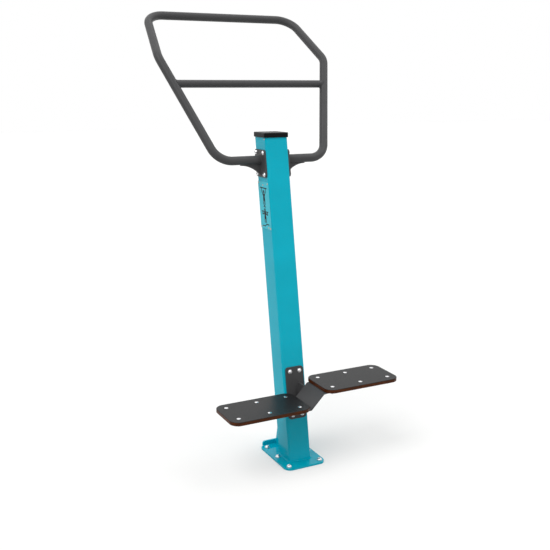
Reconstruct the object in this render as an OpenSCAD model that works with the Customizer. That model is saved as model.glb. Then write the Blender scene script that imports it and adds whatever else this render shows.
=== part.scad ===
// Outdoor pull-up bar station: a leaning square post on an anchored base plate, a bent
// tube hand frame bolted to the post's sides, and two stepping boards on a bent carrier.
// Millimetres. +X runs along the boards, +Y points away from the user and +Z is up.
// The origin lies on the ground, where the post's centre line meets it.

/* [Post] */
// Width of the square post across its flats
post_w = 120; // [112:1:128]
// Wall of the post
post_wall = 4; // [3:0.5:6]
// Outer corner radius of the post
post_corner_r = 10; // [7:0.5:12]
// Height of the post's level top above the ground
post_top_z = 1581; // [1560:1:1620]
// Lean of the post back from upright, in degrees
post_lean = 9.6; // [8.8:0.1:10.4]
// Overhang of the cap past the post on each side
cap_overhang = 5; // [3:0.5:8]
// Height of the cap's upright sides
cap_side_h = 19; // [14:1:24]
// Depth of the cap's plug inside the post
cap_plug_h = 34; // [24:1:44]

/* [Base plate] */
// Width of the base plate
base_w = 220; // [214:1:240]
// Thickness of the base plate
base_t = 10; // [8:1:14]
// Reach of the base plate in front of the origin
base_front = 126; // [122:1:136]
// Distance from the origin back to the upturned edge
base_back = 172; // [168:1:184]
// Radius of the base plate's front corners
base_corner_r = 35; // [25:1:40]
// Height of the upturned edge above the plate
lip_h = 24; // [20:1:32]
// Width of the upturned edge
lip_w = 188; // [180:1:196]
// Radius of the upturned edge's top corners
lip_corner_r = 13; // [9:1:18]
// Distance from the plate's front edge to the front anchors
anchor_front_inset = 25; // [23:1:28]
// Distance from the upturned edge to the rear anchors
anchor_rear_inset = 29; // [26:1:32]
// Diameter of the anchor holes
anchor_hole_d = 14; // [13.5:0.5:16]
// Thickness of each rear rib
rib_t = 8; // [6:1:10]
// Clear distance between the two rear ribs
rib_gap = 24; // [16:1:36]
// Height of the rear ribs' upper ends
rib_top_z = 300; // [240:5:340]

/* [Hand frame] */
// Outer diameter of the frame tube
tube_d = 42.4; // [38:0.2:46]
// Wall of the frame tube and of the cross bar
tube_wall = 3.2; // [2.6:0.1:4]
// Centre-line radius of every bend
bend_r = 100; // [85:1:110]
// Height of the lower bar's centre line
bar_z = 1473; // [1460:1:1485]
// Half of the lower bar's length, to its corners
low_half = 287; // [275:1:300]
// Half of the grip bar's length, to its corners
top_half = 416; // [405:1:430]
// How much wider the frame is at its kinks, on each side
kink_spread = 47; // [38:1:56]
// Rise from the lower bar to the kinks
low_rise = 487; // [475:1:500]
// Set-back from the lower bar to the kinks
low_back = 315; // [300:1:330]
// Rise from the kinks to the grip bar
top_rise = 219; // [205:1:230]
// Set-back from the kinks to the grip bar
top_back = 308; // [295:1:320]
// Height of the cross bar's centre line above the ground
cross_z = 1833; // [1810:1:1850]
// Outer diameter of the cross bar
cross_d = 38; // [33:0.5:40]

/* [Flanges] */
// Thickness of the flanges on the post's sides
flange_t = 8; // [6:1:10]
// Distance from a flange's upright edges to the post's edges
flange_side = 6; // [1:1:8]
// Height of a flange above the lower bar's centre line
flange_up = 49; // [46:1:54]
// Depth of a flange below the lower bar's centre line
flange_down = 82; // [78:1:90]
// Radius of a flange's corners
flange_corner_r = 12; // [8:1:16]
// Distance from a flange's upright edges to its bolt columns
flange_bolt_side = 16; // [14:0.5:18]
// Distance from a flange's top and bottom edges to its bolts
flange_bolt_inset = 14; // [13:0.5:16]
// Length of the curved gussets from the flange
gusset_reach = 106; // [96:1:114]
// Radius of the gussets' curved edge
gusset_r = 130; // [124:1:145]
// Thickness of the gussets
gusset_t = 8; // [6:1:10]

/* [Steps] */
// Width of each stepping board
tread_w = 405; // [390:1:420]
// Depth of each stepping board
tread_d = 231; // [220:1:240]
// Thickness of each stepping board
tread_t = 18; // [15:1:21]
// Corner radius of the boards
tread_corner_r = 45; // [35:1:50]
// Distance of each board's centre from the middle
tread_x = 244; // [240:1:250]
// Distance of the boards' centres in front of the origin
tread_y = 137.5; // [134:0.5:141]
// Height of the left board's top
left_tread_z = 362.5; // [355:0.5:370]
// Height of the right board's top above the left one's
tread_rise = 70; // [62:1:78]
// Thickness of the bent carrier
carrier_t = 6; // [5:0.5:8]
// Depth of the bent carrier
carrier_d = 165; // [160:1:172]
// Distance of the carrier's centre in front of the origin
carrier_y = 142; // [140:1:145]
// Half of the width of the carrier's sloping part
slope_half = 34; // [31:1:38]
// Inner radius of the carrier's bends
carrier_bend_r = 6; // [5:1:9]
// Distance between a board's bolts along it
tread_bolt_pitch = 156; // [150:1:160]
// Distance from the carrier's front edge to the boards' front bolts
tread_bolt_front = 14.5; // [12:0.5:18]
// Distance from the carrier's rear edge to the boards' rear bolts
tread_bolt_rear = 8.5; // [7.5:0.5:11]
// Distance from the bracket's upright edges to the post's edges
bracket_side = 12; // [8:1:14]
// Height of the bracket
bracket_h = 259; // [250:1:270]
// Thickness of the bracket
bracket_t = 8; // [6:1:10]
// Corner radius of the bracket
bracket_corner_r = 15; // [10:1:18]
// Distance of the bracket's centre along the post
bracket_s = 343; // [338:1:350]
// Distance from the bracket's upright edges to its bolts
bracket_bolt_side = 22; // [19:1:24]
// Distance from the bracket's top and bottom edges to its bolts
bracket_bolt_inset = 21.5; // [18:0.5:24]
// Thickness of the two upright webs
web_t = 8; // [6:1:10]
// Clear distance between the two webs
web_gap = 28; // [22:1:32]
// Depth of the ribs under the wings at the root
wing_rib_h = 40; // [30:1:44]

/* [Fasteners] */
// Diameter of the bolts in the flanges and the bracket
bolt_d = 10; // [8:1:12]
// Head diameter of those bolts
bolt_head_d = 18; // [16:0.5:20]
// Head height of those bolts
bolt_head_h = 7; // [5:0.5:9]
// Diameter of the boards' bolts
tread_bolt_d = 8; // [6:1:8]
// Head diameter of the boards' bolts
tread_head_d = 19; // [17:0.5:21]
// Diameter of the domed anchor nuts
anchor_nut_d = 23.5; // [22:0.5:25]
// Height of those nuts
anchor_nut_h = 11; // [10:0.5:13]
// Thread diameter in those nuts
anchor_d = 12; // [11:0.5:12.5]
// Clearance round a bolt in a plain hole, on each side
hole_gap = 0.5; // [0.3:0.1:1]

/* [Information plate] */
// Distance from the plate's upright edges to the post's edges
info_side = 4; // [2:1:10]
// Height of that plate
info_h = 229; // [200:1:240]
// Gap between that plate and the flange above it
info_gap = 22; // [12:1:40]
// Thickness of that plate
info_t = 2; // [1:0.5:4]
// Distance from the plate's edges to its rivets
info_inset = 8; // [7:0.5:12]

/* [Hidden] */
$fn = 48;

// Finishes
TEAL = "#1aa4bb";
PALE_TEAL = "#5cc4d4";
GREY = "#4c4c4c";
BLACK = "#1d1d1f";
BOARD = "#4a4a4c";
STEEL = "#d8d9db";
COPPER = "#d79a72";

// Overrun of every cut past the face that it leaves
cut = 1;
// Gap left where a shaped end is welded to a round tube
weld_gap = 0.1;
// Gap between a screw and its thread, and between a rivet nut and its hole
thread_gap = 0.1;

// How far a straight run holds the end of a bend, and how much slimmer the bend is on each side
bend_seat = 0.5;
bend_slim = 0.05;

// Edge bevel, crown height and flat of the cap, its plug's wall and sealing fins
cap_bevel = 4;
cap_crown_h = 2;
cap_flat_w = 60;
plug_wall = 3;
plug_gap = 2;
fin_gap = 0.3;
fin_t = 1.5;
fin_count = 3;

// Inner radius of the bend between the base plate and its upturned edge
lip_bend_r = 4;
// Corner cut off each rear rib to clear that bend
rib_snipe = 9;

// Anchor washers and closed nuts, with a socket for a key in each nut
anchor_washer_d = 26;
anchor_washer_t = 2.5;
anchor_rim_h = 2.5;
anchor_thread_h = 6;
anchor_key = 8;
anchor_key_h = 3;

// Washers and rivet nuts of the flange and bracket bolts
washer_d = 21;
washer_t = 1.6;
bolt_rim_h = 1.2;
bolt_key = 6;
bolt_key_h = 3.5;
rivet_nut_wall = 1.6;
rivet_nut_len = 26;
rivet_bulge = 2;
rivet_bulge_h = 6;

// Washers and locking nuts under the boards
tread_head_h = 2.5;
tread_rim_h = 0.8;
tread_washer_d = 18;
tread_washer_t = 1.6;
tread_nut_af = 13;
tread_nut_h = 6;
tread_collar_d = 12;
tread_collar_h = 2.5;
tread_bolt_end = 2;

// Small rivets of the information plate
info_rivet_d = 4;
info_rivet_head_d = 7;
info_rivet_head_h = 2.4;
info_rivet_rim_h = 0.6;
info_rivet_bulb_d = 6;
info_rivet_bulb_h = 4;
info_corner_r = 5;

// Blunt end of the gussets at the tube and at the flange
gusset_tip = 4;
gusset_toe = 4;
// Straight run between each corner bend and the joint to the side tube
joint_run = 30;
// Tip depth and front end of the webs, and their root's height over the bracket's lower bolts
web_tip = 20;
web_end_gap = 29;
web_root_rise = 30;
web_stand = 16;
// Ribs under the wings
wing_rib_t = 6;
wing_rib_tip = 12;
wing_rib_root = 8;
// Distance from the outer bolts to the ends of the wings
wing_end = 14;
// Bevel of the boards' edges
tread_bevel = 1.5;

// Worked-out places
half_w = post_w / 2;
inner_w = post_w - 2 * post_wall;
flange_d = post_w - 2 * flange_side;
flange_bolt_span = flange_d - 2 * flange_bolt_side;
bracket_w = post_w - 2 * bracket_side;
bracket_bolt_span = bracket_w - 2 * bracket_bolt_side;
bracket_bolt_pitch = bracket_h - 2 * bracket_bolt_inset;
info_w = post_w - 2 * info_side;
half_depth = half_w / cos(post_lean);
cap_w = post_w + 2 * cap_overhang;
cap_h = cap_side_h + cap_bevel + cap_crown_h;
rivet_hole_d = bolt_d + 2 * rivet_nut_wall + 2 * thread_gap;
lip_top_z = base_t + lip_h;
base_rear_r = (base_w - lip_w) / 2;
anchor_x = (half_w + base_w / 2) / 2;
anchor_near_y = -base_front + anchor_front_inset;
anchor_far_y = base_back - anchor_rear_inset;
anchor_pitch = (anchor_far_y - anchor_near_y) / 2;
flange_top_z = bar_z + flange_up;
flange_bottom_z = bar_z - flange_down;
info_z = flange_bottom_z - info_gap - info_h;
kink_half = top_half + kink_spread;
flange_bolt_zs = [flange_bottom_z + flange_bolt_inset, flange_top_z - flange_bolt_inset];
bar_y = lean_y(bar_z);
bar_s = bar_z / cos(post_lean);
right_tread_z = left_tread_z + tread_rise;
low_wing_z = left_tread_z - tread_t;
high_wing_z = right_tread_z - tread_t;
slope_angle = atan(tread_rise / (2 * slope_half));
wing_half = tread_x + tread_bolt_pitch + wing_end;
carrier_near_y = -carrier_y - carrier_d / 2;
carrier_far_y = -carrier_y + carrier_d / 2;
tread_bolt_ys = [carrier_near_y + tread_bolt_front, carrier_far_y - tread_bolt_rear];
bolt_len = washer_t + flange_t + rivet_nut_len - rivet_bulge;
bracket_bolt_len = washer_t + bracket_t + rivet_nut_len - rivet_bulge;
tread_bolt_len = tread_t + carrier_t + tread_washer_t + tread_nut_h + tread_collar_h + tread_bolt_end;

anchor_points = [
    for (row = [0:2], side = [-1, 1])
        [side * anchor_x, anchor_near_y + row * anchor_pitch]
];
flange_points = [
    for (side = [-1, 1], z = flange_bolt_zs) [lean_y(z) + side * flange_bolt_span / 2, z]
];
bracket_points = [
    for (side = [-1, 1], end = [-1, 1])
        [side * bracket_bolt_span / 2, bracket_s + end * bracket_bolt_pitch / 2]
];
tread_points = [
    for (step = [-1:1], y = tread_bolt_ys) [step * tread_bolt_pitch, y]
];
info_points = [
    for (side = [-1, 1], z = [info_z + info_inset, info_z + info_h - info_inset])
        [lean_y(z) + side * (info_w / 2 - info_inset), z]
];

// Corners of the hand frame's centre line on the right side
low_corner = [low_half, bar_y, bar_z];
kink = [kink_half, bar_y + low_back, bar_z + low_rise];
top_corner = [top_half, bar_y + low_back + top_back, bar_z + low_rise + top_rise];
low_start = [half_w + flange_t, bar_y, bar_z];
low_joint = low_corner
    + unit(kink - low_corner) * (bend_run(low_start, low_corner, kink) + joint_run);
top_joint = top_corner
    + unit(kink - top_corner) * (bend_run(kink, top_corner, flip(top_corner)) + joint_run);
cross_share = (cross_z - bar_z) / low_rise;
cross_end = low_corner + (kink - low_corner) * cross_share;

// How far the post's centre line has moved back at height z
function lean_y(z) = z * tan(post_lean);
// Where pieces welded to the post's back and to the bracket's face start at height z
function post_back_y(z) = lean_y(z) + half_depth + weld_gap;
function bracket_face_y(z) = lean_y(z) - (half_w + bracket_t) / cos(post_lean) - weld_gap;
// Where the webs end below the carrier's slope at x
function slope_under_z(x) = low_wing_z - carrier_t - weld_gap
    + (x + slope_half - carrier_t * tan(slope_angle / 2)) * tan(slope_angle);

function unit(v) = v / norm(v);
function flip(p) = [-p[0], p[1], p[2]];
// Half of the angle between the legs that meet at corner b
function half_angle(a, b, c) = acos(unit(a - b) * unit(c - b)) / 2;
// Distance from corner b to each end of its bend
function bend_run(a, b, c) = bend_r / tan(half_angle(a, b, c));
// A direction square to v
function square_to(v) = unit(cross(v, abs(v[0]) > abs(v[2]) ? [0, 0, 1] : [1, 0, 0]));

// Places its children with their x and z axes along the given directions
module at(o, x, z) {
    y = cross(z, x);
    multmatrix([
        [x[0], y[0], z[0], o[0]],
        [x[1], y[1], z[1], o[1]],
        [x[2], y[2], z[2], o[2]]
    ]) children();
}

module leaning() rotate([-post_lean, 0, 0]) children();

module sided(side) mirror([side < 0 ? 1 : 0, 0, 0]) children();

// Stands an outline drawn in y and z upright, with its thickness along +X
module upright(x, t) translate([x, 0, 0]) rotate([90, 0, 90]) linear_extrude(t) children();

// Stands an outline drawn in x and z upright, with its thickness from y towards -Y
module facing(y, t) translate([0, y, 0]) rotate([90, 0, 0]) linear_extrude(t) children();

// A convex outline with every corner rounded to radius r
module rounded(corners, r) {
    n = len(corners);
    bends = [
        for (i = [0:n - 1])
            let (
                b = corners[i],
                u = unit(corners[(i + n - 1) % n] - b),
                v = unit(corners[(i + 1) % n] - b),
                half = acos(u * v) / 2
            ) [b + u * r / tan(half), b + v * r / tan(half), b + unit(u + v) * r / sin(half)]
    ];
    polygon([for (bend = bends) each [bend[0], bend[1]]]);
    for (bend = bends) translate(bend[2]) circle(r);
}

// A rounded rectangle, centred
module rounded_box(w, d, r) rounded([[w, d], [-w, d], [-w, -d], [w, -d]] / 2, r);

module ring(d, wall) difference() {
    circle(d = d);
    circle(d = d - 2 * wall);
}

// A straight tube, longer by the given seats at its ends
module tube_run(a, b, d, wall, seats = [0, 0])
    at(a, square_to(b - a), unit(b - a)) translate([0, 0, -seats[0]])
        linear_extrude(norm(b - a) + seats[0] + seats[1]) ring(d, wall);

// The bend of a tube at corner b, between legs that run to a and to c
module tube_bend(a, b, c, d, wall) {
    half = half_angle(a, b, c);
    u = unit(a - b);
    v = unit(c - b);
    centre = b + unit(u + v) * bend_r / sin(half);
    x = unit(b + u * bend_run(a, b, c) - centre);
    at(centre, x, cross(x, -u))
        rotate_extrude(angle = 180 - 2 * half) translate([bend_r, 0])
            ring(d - 2 * bend_slim, wall - 2 * bend_slim);
}

// A tube along points, with a bend at each corner between the first and the last
module tube_path(points, d, wall) {
    last = len(points) - 1;
    runs = [
        for (i = [0:last])
            i == 0 || i == last ? 0 : bend_run(points[i - 1], points[i], points[i + 1])
    ];
    for (i = [0:last - 1]) {
        along = unit(points[i + 1] - points[i]);
        seats = [i == 0 ? 0 : bend_seat, i == last - 1 ? 0 : bend_seat];
        tube_run(points[i] + along * runs[i], points[i + 1] - along * runs[i + 1], d, wall, seats);
    }
    for (i = [1:last - 1])
        tube_bend(points[i - 1], points[i], points[i + 1], d, wall);
}

// A part of a ring between two angles, as the bend of a plate
module plate_bend(r, t, from, to) intersection() {
    ring(2 * (r + t - bend_slim), t - 2 * bend_slim);
    polygon([[0, 0], for (a = [from, (from + to) / 2, to]) 2 * (r + t) * [cos(a), sin(a)]]);
}

// A shallow dome on an upright rim
module dome(d, h, rim_h) {
    rise = h - rim_h;
    dome_r = (pow(d / 2, 2) + pow(rise, 2)) / (2 * rise);
    intersection() {
        translate([0, 0, h - dome_r]) sphere(dome_r);
        cylinder(d = d, h = 2 * h);
    }
}

// A domed head above the origin with its shank below
module dome_bolt(head_d, head_h, rim_h, shank_d, shank_l) {
    dome(head_d, head_h, rim_h);
    translate([0, 0, -shank_l]) cylinder(d = shank_d, h = shank_l + rim_h);
}

// A hexagonal socket for a key, cut down from height top
module key_socket(top, af, depth)
    translate([0, 0, top - depth]) cylinder(d = af / cos(30), h = depth + cut, $fn = 6);

module washer(d, hole_d, t) linear_extrude(t) difference() {
    circle(d = d);
    circle(d = hole_d);
}

// A rivet nut below the origin, its bulge closed behind a wall
module rivet_nut(wall) difference() {
    union() {
        translate([0, 0, -rivet_nut_len]) cylinder(d = bolt_d + 2 * rivet_nut_wall, h = rivet_nut_len);
        translate([0, 0, -wall - rivet_bulge_h])
            cylinder(d = bolt_d + 2 * rivet_nut_wall + 2 * rivet_bulge, h = rivet_bulge_h);
    }
    translate([0, 0, -rivet_nut_len - cut])
        cylinder(d = bolt_d + 2 * thread_gap, h = rivet_nut_len + 2 * cut);
}

// Puts its children on both flanges' bolt places, their +Z pointing outward
module on_flanges(out) for (side = [-1, 1], p = flange_points)
    sided(side) translate([half_w + out, p[0], p[1]]) rotate([0, 90, 0]) children();

// Puts its children on the bracket's bolt places, their +Z pointing outward
module on_bracket(out) leaning() for (p = bracket_points)
    translate([p[0], -half_w - out, p[1]]) rotate([90, 0, 0]) children();

// Puts its children on both boards' bolt places, at a height from their tops
module on_treads(dz) for (side = [-1, 1], p = tread_points)
    translate([side * tread_x + p[0], p[1], (side < 0 ? left_tread_z : right_tread_z) + dz])
        children();

module on_info(out) for (p = info_points)
    translate([-half_w - out, p[0], p[1]]) rotate([0, -90, 0]) children();

module base_plate() color(TEAL) difference() {
    union() {
        linear_extrude(base_t) base_outline();
        intersection() {
            upright(-lip_w / 2, lip_w) {
                translate([base_back - lip_bend_r, base_t + lip_bend_r])
                    plate_bend(lip_bend_r, base_t, -90, 0);
                translate([base_back, base_t + lip_bend_r - bend_seat])
                    square([base_t, lip_h - lip_bend_r + bend_seat]);
            }
            facing(base_back + base_t, base_t + lip_bend_r + bend_seat) lip_outline();
        }
    }
    for (p = anchor_points) translate([p[0], p[1], -cut]) cylinder(d = anchor_hole_d, h = base_t + 2 * cut);
}

// Plan of the flat plate, its corners rounded; the upturned edge carries on from its middle
module base_outline() {
    depth = base_front + base_back;
    front_x = base_w / 2 - base_corner_r;
    difference() {
        union() {
            translate([-base_w / 2, base_corner_r - base_front])
                square([base_w, depth - base_corner_r - base_rear_r]);
            translate([-front_x, -base_front]) square([2 * front_x, depth - base_rear_r]);
            translate([-lip_w / 2, -base_front + base_corner_r])
                square([lip_w, depth - base_corner_r]);
            for (side = [-1, 1]) {
                translate([side * front_x, base_corner_r - base_front]) circle(base_corner_r);
                translate([side * lip_w / 2, base_back - base_rear_r]) circle(base_rear_r);
            }
        }
        translate([-lip_w / 2, base_back - lip_bend_r + bend_seat]) square([lip_w, 2 * lip_bend_r]);
    }
}

// Front view of the upturned edge, its top corners rounded
module lip_outline() {
    translate([-lip_w / 2, 0]) square([lip_w, lip_top_z - lip_corner_r]);
    translate([-lip_w / 2 + lip_corner_r, 0]) square([lip_w - 2 * lip_corner_r, lip_top_z]);
    for (side = [-1, 1])
        translate([side * (lip_w / 2 - lip_corner_r), lip_top_z - lip_corner_r]) circle(lip_corner_r);
}

module rear_ribs() color(TEAL) for (side = [-1, 1]) sided(side)
    upright(rib_gap / 2, rib_t) polygon([
        [post_back_y(base_t), base_t],
        [base_back - rib_snipe, base_t],
        [base_back, base_t + rib_snipe],
        [base_back, lip_top_z],
        [post_back_y(rib_top_z), rib_top_z]
    ]);

module post_tube() color(TEAL) difference() {
    intersection() {
        leaning() translate([0, 0, -post_w]) linear_extrude(post_top_z / cos(post_lean) + 2 * post_w)
            difference() {
                rounded_box(post_w, post_w, post_corner_r);
                rounded_box(inner_w, inner_w, post_corner_r - post_wall);
            }
        translate([-post_w, -post_w, base_t])
            cube([2 * post_w, 2 * post_w + lean_y(post_top_z), post_top_z - base_t]);
    }
    for (p = flange_points) translate([-post_w, p[0], p[1]]) rotate([0, 90, 0])
        cylinder(d = rivet_hole_d, h = 2 * post_w);
    on_bracket(cut) translate([0, 0, -post_wall - 2 * cut]) cylinder(d = rivet_hole_d, h = post_wall + 2 * cut);
    on_info(cut) translate([0, 0, -post_wall - 2 * cut])
        cylinder(d = info_rivet_d + 2 * thread_gap, h = post_wall + 2 * cut);
}

// The cap, bevelled and crowned, with a plug and sealing fins inside the post
module post_cap() color(BLACK) {
    translate([0, lean_y(post_top_z), post_top_z]) intersection() {
        linear_extrude(cap_h + cut) rounded_box(cap_w, cap_w, post_corner_r);
        facing(cap_w, 2 * cap_w) cap_outline();
        upright(-cap_w, 2 * cap_w) cap_outline();
    }
    cap_plug(-cut, cap_plug_h, inner_w - 2 * plug_gap, plug_wall);
    for (i = [1:fin_count]) {
        top = i * cap_plug_h / (fin_count + 1);
        cap_plug(top, top + fin_t, inner_w - 2 * fin_gap, plug_gap - fin_gap + plug_wall / 2);
    }
}

module cap_outline() polygon([
    for (p = [[cap_w / 2, 0], [cap_w / 2, cap_side_h], [cap_w / 2 - cap_bevel, cap_side_h + cap_bevel],
        [cap_flat_w / 2, cap_h]]) p,
    for (p = [[cap_flat_w / 2, cap_h], [cap_w / 2 - cap_bevel, cap_side_h + cap_bevel],
        [cap_w / 2, cap_side_h], [cap_w / 2, 0]]) [-p[0], p[1]]
]);

// A leaning square ring inside the post, between two depths below its top
module cap_plug(from, to, w, wall) intersection() {
    leaning() translate([0, 0, (post_top_z - 2 * post_w) / cos(post_lean)])
        linear_extrude(4 * post_w) difference() {
            rounded_box(w, w, post_corner_r - post_wall);
            rounded_box(w - 2 * wall, w - 2 * wall, (post_corner_r - post_wall) / 2);
        }
    translate([-post_w, lean_y(post_top_z) - post_w, post_top_z - to])
        cube([2 * post_w, 2 * post_w, to - from]);
}

module anchor_washers() color(STEEL) for (p = anchor_points)
    translate([p[0], p[1], base_t]) washer(anchor_washer_d, anchor_d + 2 * hole_gap, anchor_washer_t);

module anchor_dome_nuts() color(STEEL) for (p = anchor_points)
    translate([p[0], p[1], base_t + anchor_washer_t]) difference() {
        dome(anchor_nut_d, anchor_nut_h, anchor_rim_h);
        translate([0, 0, -cut]) cylinder(d = anchor_d, h = anchor_thread_h + cut);
        key_socket(anchor_nut_h, anchor_key, anchor_key_h);
    }

module frame_lower(side) sided(side) color(GREY)
    tube_path([low_start, low_corner, low_joint], tube_d, tube_wall);
module frame_lower_left() frame_lower(-1);
module frame_lower_right() frame_lower(1);

module frame_side(side) sided(side) color(GREY)
    tube_path([low_joint, kink, top_joint], tube_d, tube_wall);
module frame_side_left() frame_side(-1);
module frame_side_right() frame_side(1);

module frame_grip_bar() color(GREY)
    tube_path([top_joint, top_corner, flip(top_corner), flip(top_joint)], tube_d, tube_wall);

// The cross bar, its ends shaped to the side tubes
module frame_cross_bar() color(GREY) difference() {
    tube_run(flip(cross_end), cross_end, cross_d, tube_wall);
    for (side = [-1, 1]) sided(side) at(low_corner, square_to(kink - low_corner), unit(kink - low_corner))
        cylinder(d = tube_d + 2 * weld_gap, h = norm(kink - low_corner));
}

module flange() color(GREY) difference() {
    upright(half_w, flange_t) rounded([
        for (end = [[1, flange_top_z], [-1, flange_top_z], [-1, flange_bottom_z], [1, flange_bottom_z]])
            [lean_y(end[1]) + end[0] * flange_d / 2, end[1]]
    ], flange_corner_r);
    for (p = flange_points) translate([half_w - cut, p[0], p[1]]) rotate([0, 90, 0])
        cylinder(d = bolt_d + 2 * hole_gap, h = flange_t + 2 * cut);
}
module left_flange() sided(-1) flange();
module right_flange() flange();

// A web under the lower bar, in the plane of the post's centre line
module gusset() color(GREY) difference() {
    start_x = half_w + flange_t;
    tip_s = bar_s - tube_d / 2 - gusset_tip;
    drop = gusset_r - sqrt(pow(gusset_r, 2) - pow(gusset_reach, 2)) - gusset_toe;
    leaning() facing(gusset_t / 2, gusset_t) difference() {
        translate([start_x, tip_s - drop]) square([gusset_reach, bar_s - tip_s + drop]);
        translate([start_x + gusset_reach, tip_s - gusset_r]) circle(gusset_r);
    }
    at([0, bar_y, bar_z], [0, 1, 0], [1, 0, 0])
        cylinder(d = tube_d + 2 * weld_gap, h = start_x + gusset_reach + cut);
}
module left_gusset() sided(-1) gusset();
module right_gusset() gusset();

module flange_bolts() color(STEEL) on_flanges(flange_t + washer_t) difference() {
    dome_bolt(bolt_head_d, bolt_head_h, bolt_rim_h, bolt_d, bolt_len);
    key_socket(bolt_head_h, bolt_key, bolt_key_h);
}
module flange_washers() color(STEEL) on_flanges(flange_t)
    washer(washer_d, bolt_d + 2 * hole_gap, washer_t);
module flange_rivet_nuts() color(STEEL) on_flanges(0) rivet_nut(post_wall);

module step_bracket() color(GREY) difference() {
    leaning() facing(-half_w, bracket_t)
        translate([0, bracket_s]) rounded_box(bracket_w, bracket_h, bracket_corner_r);
    on_bracket(-cut) cylinder(d = bolt_d + 2 * hole_gap, h = bracket_t + 2 * cut);
}

// The carrier's section in x and z: low wing, slope and high wing
module carrier_section() {
    low_run = carrier_bend_r * tan(slope_angle / 2);
    high_run = (carrier_bend_r + carrier_t) * tan(slope_angle / 2);
    slope_len = norm([2 * slope_half, tread_rise]) - low_run - high_run;
    translate([-wing_half, low_wing_z - carrier_t])
        square([wing_half - slope_half - low_run + bend_seat, carrier_t]);
    translate([-slope_half - low_run, low_wing_z + carrier_bend_r])
        plate_bend(carrier_bend_r, carrier_t, -90, slope_angle - 90);
    translate([-slope_half, low_wing_z]) rotate(slope_angle) translate([low_run - bend_seat, -carrier_t])
        square([slope_len + 2 * bend_seat, carrier_t]);
    translate([slope_half + high_run, high_wing_z - carrier_t - carrier_bend_r])
        plate_bend(carrier_bend_r, carrier_t, 90, 90 + slope_angle);
    translate([slope_half + high_run - bend_seat, high_wing_z - carrier_t])
        square([wing_half - slope_half - high_run + bend_seat, carrier_t]);
}

module step_carrier() color(GREY) difference() {
    facing(carrier_far_y, carrier_d) carrier_section();
    for (side = [-1, 1], p = tread_points)
        translate([side * tread_x + p[0], p[1], (side < 0 ? low_wing_z : high_wing_z) - carrier_t - cut])
            cylinder(d = tread_bolt_d + 2 * hole_gap, h = carrier_t + 2 * cut);
}

// One web from the bracket to the carrier's slope; stand is how far it rises behind the carrier
module step_web(x, rear_top_z) {
    front_y = carrier_near_y + web_end_gap;
    seat_z = min(slope_under_z(x), slope_under_z(x + web_t));
    root_z = bracket_s * cos(post_lean) - bracket_bolt_pitch / 2 + web_root_rise;
    difference() {
        upright(x, web_t) polygon([
            [bracket_face_y(root_z), root_z],
            [bracket_face_y(rear_top_z), rear_top_z],
            [carrier_far_y, rear_top_z],
            [carrier_far_y, slope_under_z(x + web_t)],
            [front_y, slope_under_z(x + web_t)],
            [front_y, seat_z - web_tip]
        ]);
        facing(carrier_far_y, carrier_d) polygon([
            [x - web_t, slope_under_z(x - web_t)],
            [x + 2 * web_t, slope_under_z(x + 2 * web_t)],
            [x - web_t, slope_under_z(x + 2 * web_t)]
        ]);
    }
}

module step_webs() color(GREY) {
    step_web(web_gap / 2, slope_under_z(web_gap / 2 + web_t) + carrier_t);
    step_web(-web_gap / 2 - web_t, low_wing_z - carrier_t);
}

module wing_ribs() color(GREY) for (side = [-1, 1]) {
    top_z = (side < 0 ? low_wing_z : high_wing_z) - carrier_t;
    root_x = slope_half + (carrier_bend_r + carrier_t) * tan(slope_angle / 2) + wing_rib_root;
    facing(-carrier_y + wing_rib_t / 2, wing_rib_t) polygon([
        [side * root_x, top_z],
        [side * (wing_half - wing_end), top_z],
        [side * (wing_half - wing_end), top_z - wing_rib_tip],
        [side * root_x, top_z - wing_rib_h]
    ]);
}

// A stepping board with bevelled edges, its underside at z = 0
module board() {
    straight_w = tread_w / 2 - tread_corner_r;
    straight_d = tread_d / 2 - tread_corner_r;
    facing(straight_d, 2 * straight_d) bevelled(tread_w);
    upright(-straight_w, 2 * straight_w) bevelled(tread_d);
    for (x = [-straight_w, straight_w], y = [-straight_d, straight_d])
        translate([x, y, 0]) rotate_extrude() intersection() {
            bevelled(2 * tread_corner_r);
            square([tread_corner_r, tread_t]);
        }
}

// The section of a board of width w
module bevelled(w) polygon([
    [-w / 2 + tread_bevel, 0],
    [w / 2 - tread_bevel, 0],
    [w / 2, tread_bevel],
    [w / 2, tread_t - tread_bevel],
    [w / 2 - tread_bevel, tread_t],
    [-w / 2 + tread_bevel, tread_t],
    [-w / 2, tread_t - tread_bevel],
    [-w / 2, tread_bevel]
]);

module tread(side, top_z) color(BOARD) difference() {
    translate([side * tread_x, -tread_y, top_z - tread_t]) board();
    for (p = tread_points) translate([side * tread_x + p[0], p[1], top_z - tread_t - cut])
        cylinder(d = tread_bolt_d + 2 * hole_gap, h = tread_t + 2 * cut);
}
module left_tread() tread(-1, left_tread_z);
module right_tread() tread(1, right_tread_z);

module tread_bolts() color(STEEL) on_treads(0)
    dome_bolt(tread_head_d, tread_head_h, tread_rim_h, tread_bolt_d, tread_bolt_len);
module tread_washers() color(STEEL) on_treads(-tread_t - carrier_t - tread_washer_t)
    washer(tread_washer_d, tread_bolt_d + 2 * hole_gap, tread_washer_t);
module tread_nuts() color(STEEL)
    on_treads(-tread_t - carrier_t - tread_washer_t - tread_nut_h - tread_collar_h) difference() {
        union() {
            translate([0, 0, tread_collar_h])
                cylinder(d = tread_nut_af / cos(30), h = tread_nut_h, $fn = 6);
            cylinder(d = tread_collar_d, h = tread_collar_h);
        }
        translate([0, 0, -cut])
            cylinder(d = tread_bolt_d + 2 * thread_gap, h = tread_nut_h + tread_collar_h + 2 * cut);
    }

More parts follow.
